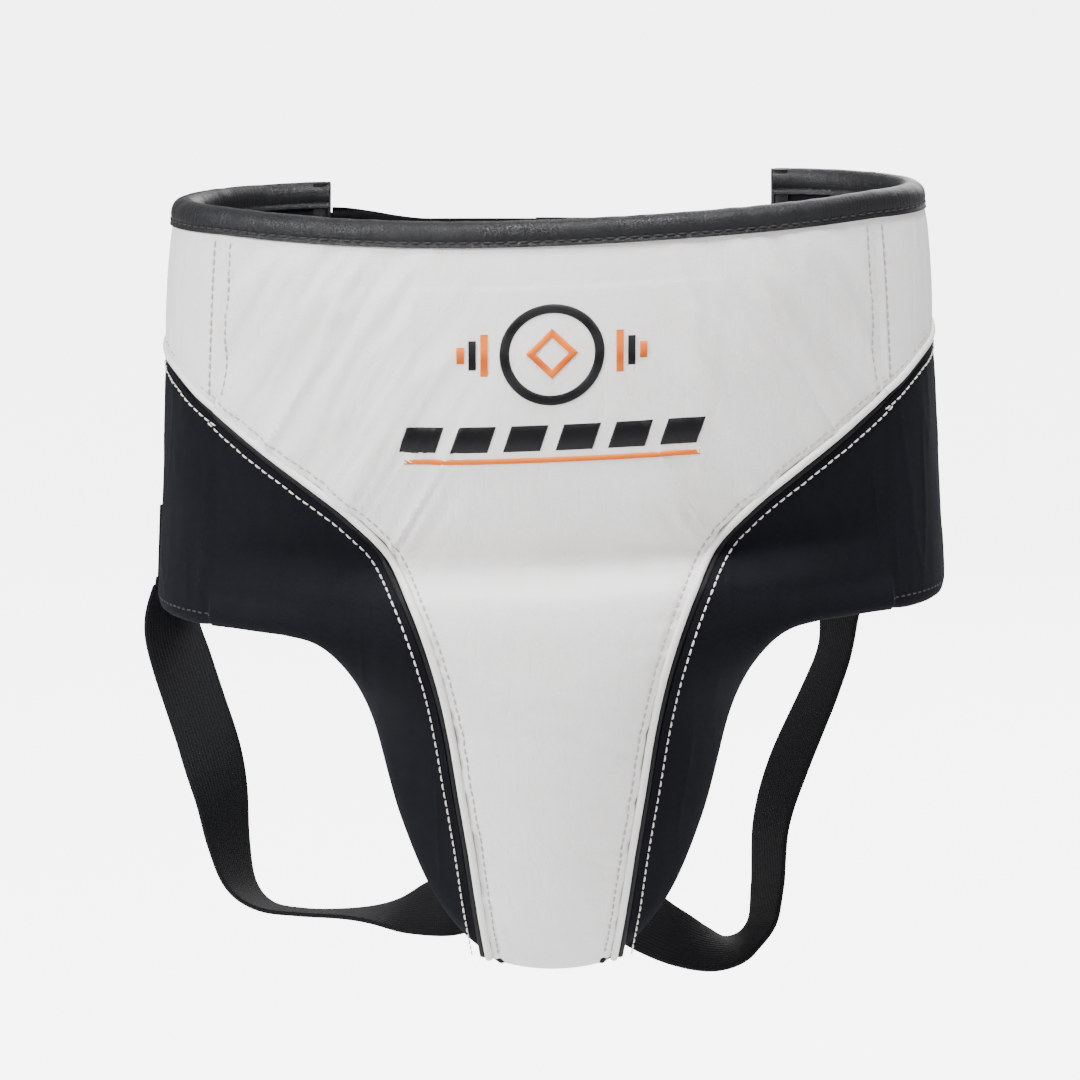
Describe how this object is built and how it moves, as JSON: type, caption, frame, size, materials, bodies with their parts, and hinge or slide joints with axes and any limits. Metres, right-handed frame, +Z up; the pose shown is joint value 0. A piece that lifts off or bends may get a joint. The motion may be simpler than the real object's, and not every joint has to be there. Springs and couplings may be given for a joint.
{
  "type": "groin protector",
  "caption": "Padded boxing groin and abdomen guard with a hard cup, folding waist wings, rear closure strap and elastic leg straps.",
  "frame": {"origin": "middle of the waist opening, level with the top edge", "axes": "+Z up out of the waist opening, the front faces -Y, +X to the right of someone facing the guard"},
  "size_m": [0.3883, 0.2083, 0.371],
  "materials": {
    "white_leather": "smooth semi-gloss, fine grain",
    "navy_suede": "matt brushed microfibre",
    "white_piping": "smooth rolled edge",
    "black_welt": "matt",
    "foam": "closed-cell foam, matt",
    "cup_plastic": "moulded, satin",
    "lining_cloth": "plain weave, matt",
    "black_leather": "soft grain, satin",
    "thread": "satin stitch",
    "hook_tape": "woven tape with small hooks",
    "loop_tape": "brushed loop pile",
    "wide_elastic": "ribbed elastic webbing",
    "leg_elastic": "ribbed elastic webbing"
  },
  "bodies": {
    "front": {"front_leather": "white_leather", "left_thigh_panel": "navy_suede", "right_thigh_panel": "navy_suede", "left_front_piping": "white_piping", "right_front_piping": "white_piping", "left_front_welt": "black_welt", "right_front_welt": "black_welt", "belly_foam": "foam", "left_thigh_foam": "foam", "right_thigh_foam": "foam", "cup_face_foam": "foam", "cup_shell": "cup_plastic", "cup_rim_pad": "foam", "front_lining": "lining_cloth", "front_binding": "black_leather", "emblem": "thread", "crotch_anchor": "leg_elastic", "left_strap_lower": "leg_elastic", "right_strap_lower": "leg_elastic"},
    "left_wing": {"left_wing_leather": "white_leather", "left_wing_suede": "navy_suede", "left_wing_piping": "white_piping", "left_wing_foam": "foam", "left_wing_lining": "lining_cloth", "left_wing_binding": "black_leather", "left_strap_upper": "leg_elastic", "left_tab_loop": "loop_tape", "closure_anchor": "black_leather"},
    "right_wing": {"right_wing_leather": "white_leather", "right_wing_suede": "navy_suede", "right_wing_piping": "white_piping", "right_wing_foam": "foam", "right_wing_lining": "lining_cloth", "right_wing_binding": "black_leather", "right_strap_upper": "leg_elastic", "right_tab_loop": "loop_tape", "closure_loop": "loop_tape"},
    "closure_strap": {"closure_elastic": "wide_elastic"},
    "closure_end": {"closure_tab": "black_leather", "closure_hook": "hook_tape"},
    "left_tab": {"left_leg_tab": "leg_elastic", "left_tab_hook": "hook_tape"},
    "right_tab": {"right_leg_tab": "leg_elastic", "right_tab_hook": "hook_tape"}
  },
  "joints": [
    {"name": "left_wing_fold", "type": "hinge", "parent": "front", "child": "left_wing", "pos_m": [-0.15746, -0.04815, -0.098], "axis": [0, 0, 1], "range_deg": [-8, 55], "stiffness_Nm_per_rad": 0.6},
    {"name": "right_wing_fold", "type": "hinge", "parent": "front", "child": "right_wing", "pos_m": [0.15746, -0.04815, -0.098], "axis": [0, 0, -1], "range_deg": [-8, 55], "stiffness_Nm_per_rad": 0.6},
    {"name": "closure_swing", "type": "hinge", "parent": "left_wing", "child": "closure_strap", "pos_m": [-0.109, 0.0961, -0.0525], "axis": [0, 0, 1], "range_deg": [-35, 80], "stiffness_Nm_per_rad": 0.02},
    {"name": "closure_end_fold", "type": "hinge", "parent": "closure_strap", "child": "closure_end", "pos_m": [-0.009, 0.1005, -0.0525], "axis": [0, 0, 1], "range_deg": [-20, 85], "stiffness_Nm_per_rad": 0.02},
    {"name": "left_tab_peel", "type": "hinge", "parent": "left_wing", "child": "left_tab", "pos_m": [-0.18431, 0.05012, -0.1882], "axis": [-0.4226, -0.9063, 0], "range_deg": [0, 75]},
    {"name": "right_tab_peel", "type": "hinge", "parent": "right_wing", "child": "right_tab", "pos_m": [0.14801, 0.08837, -0.1882], "axis": [-0.8829, 0.4695, 0], "range_deg": [0, 75]}
  ]
}
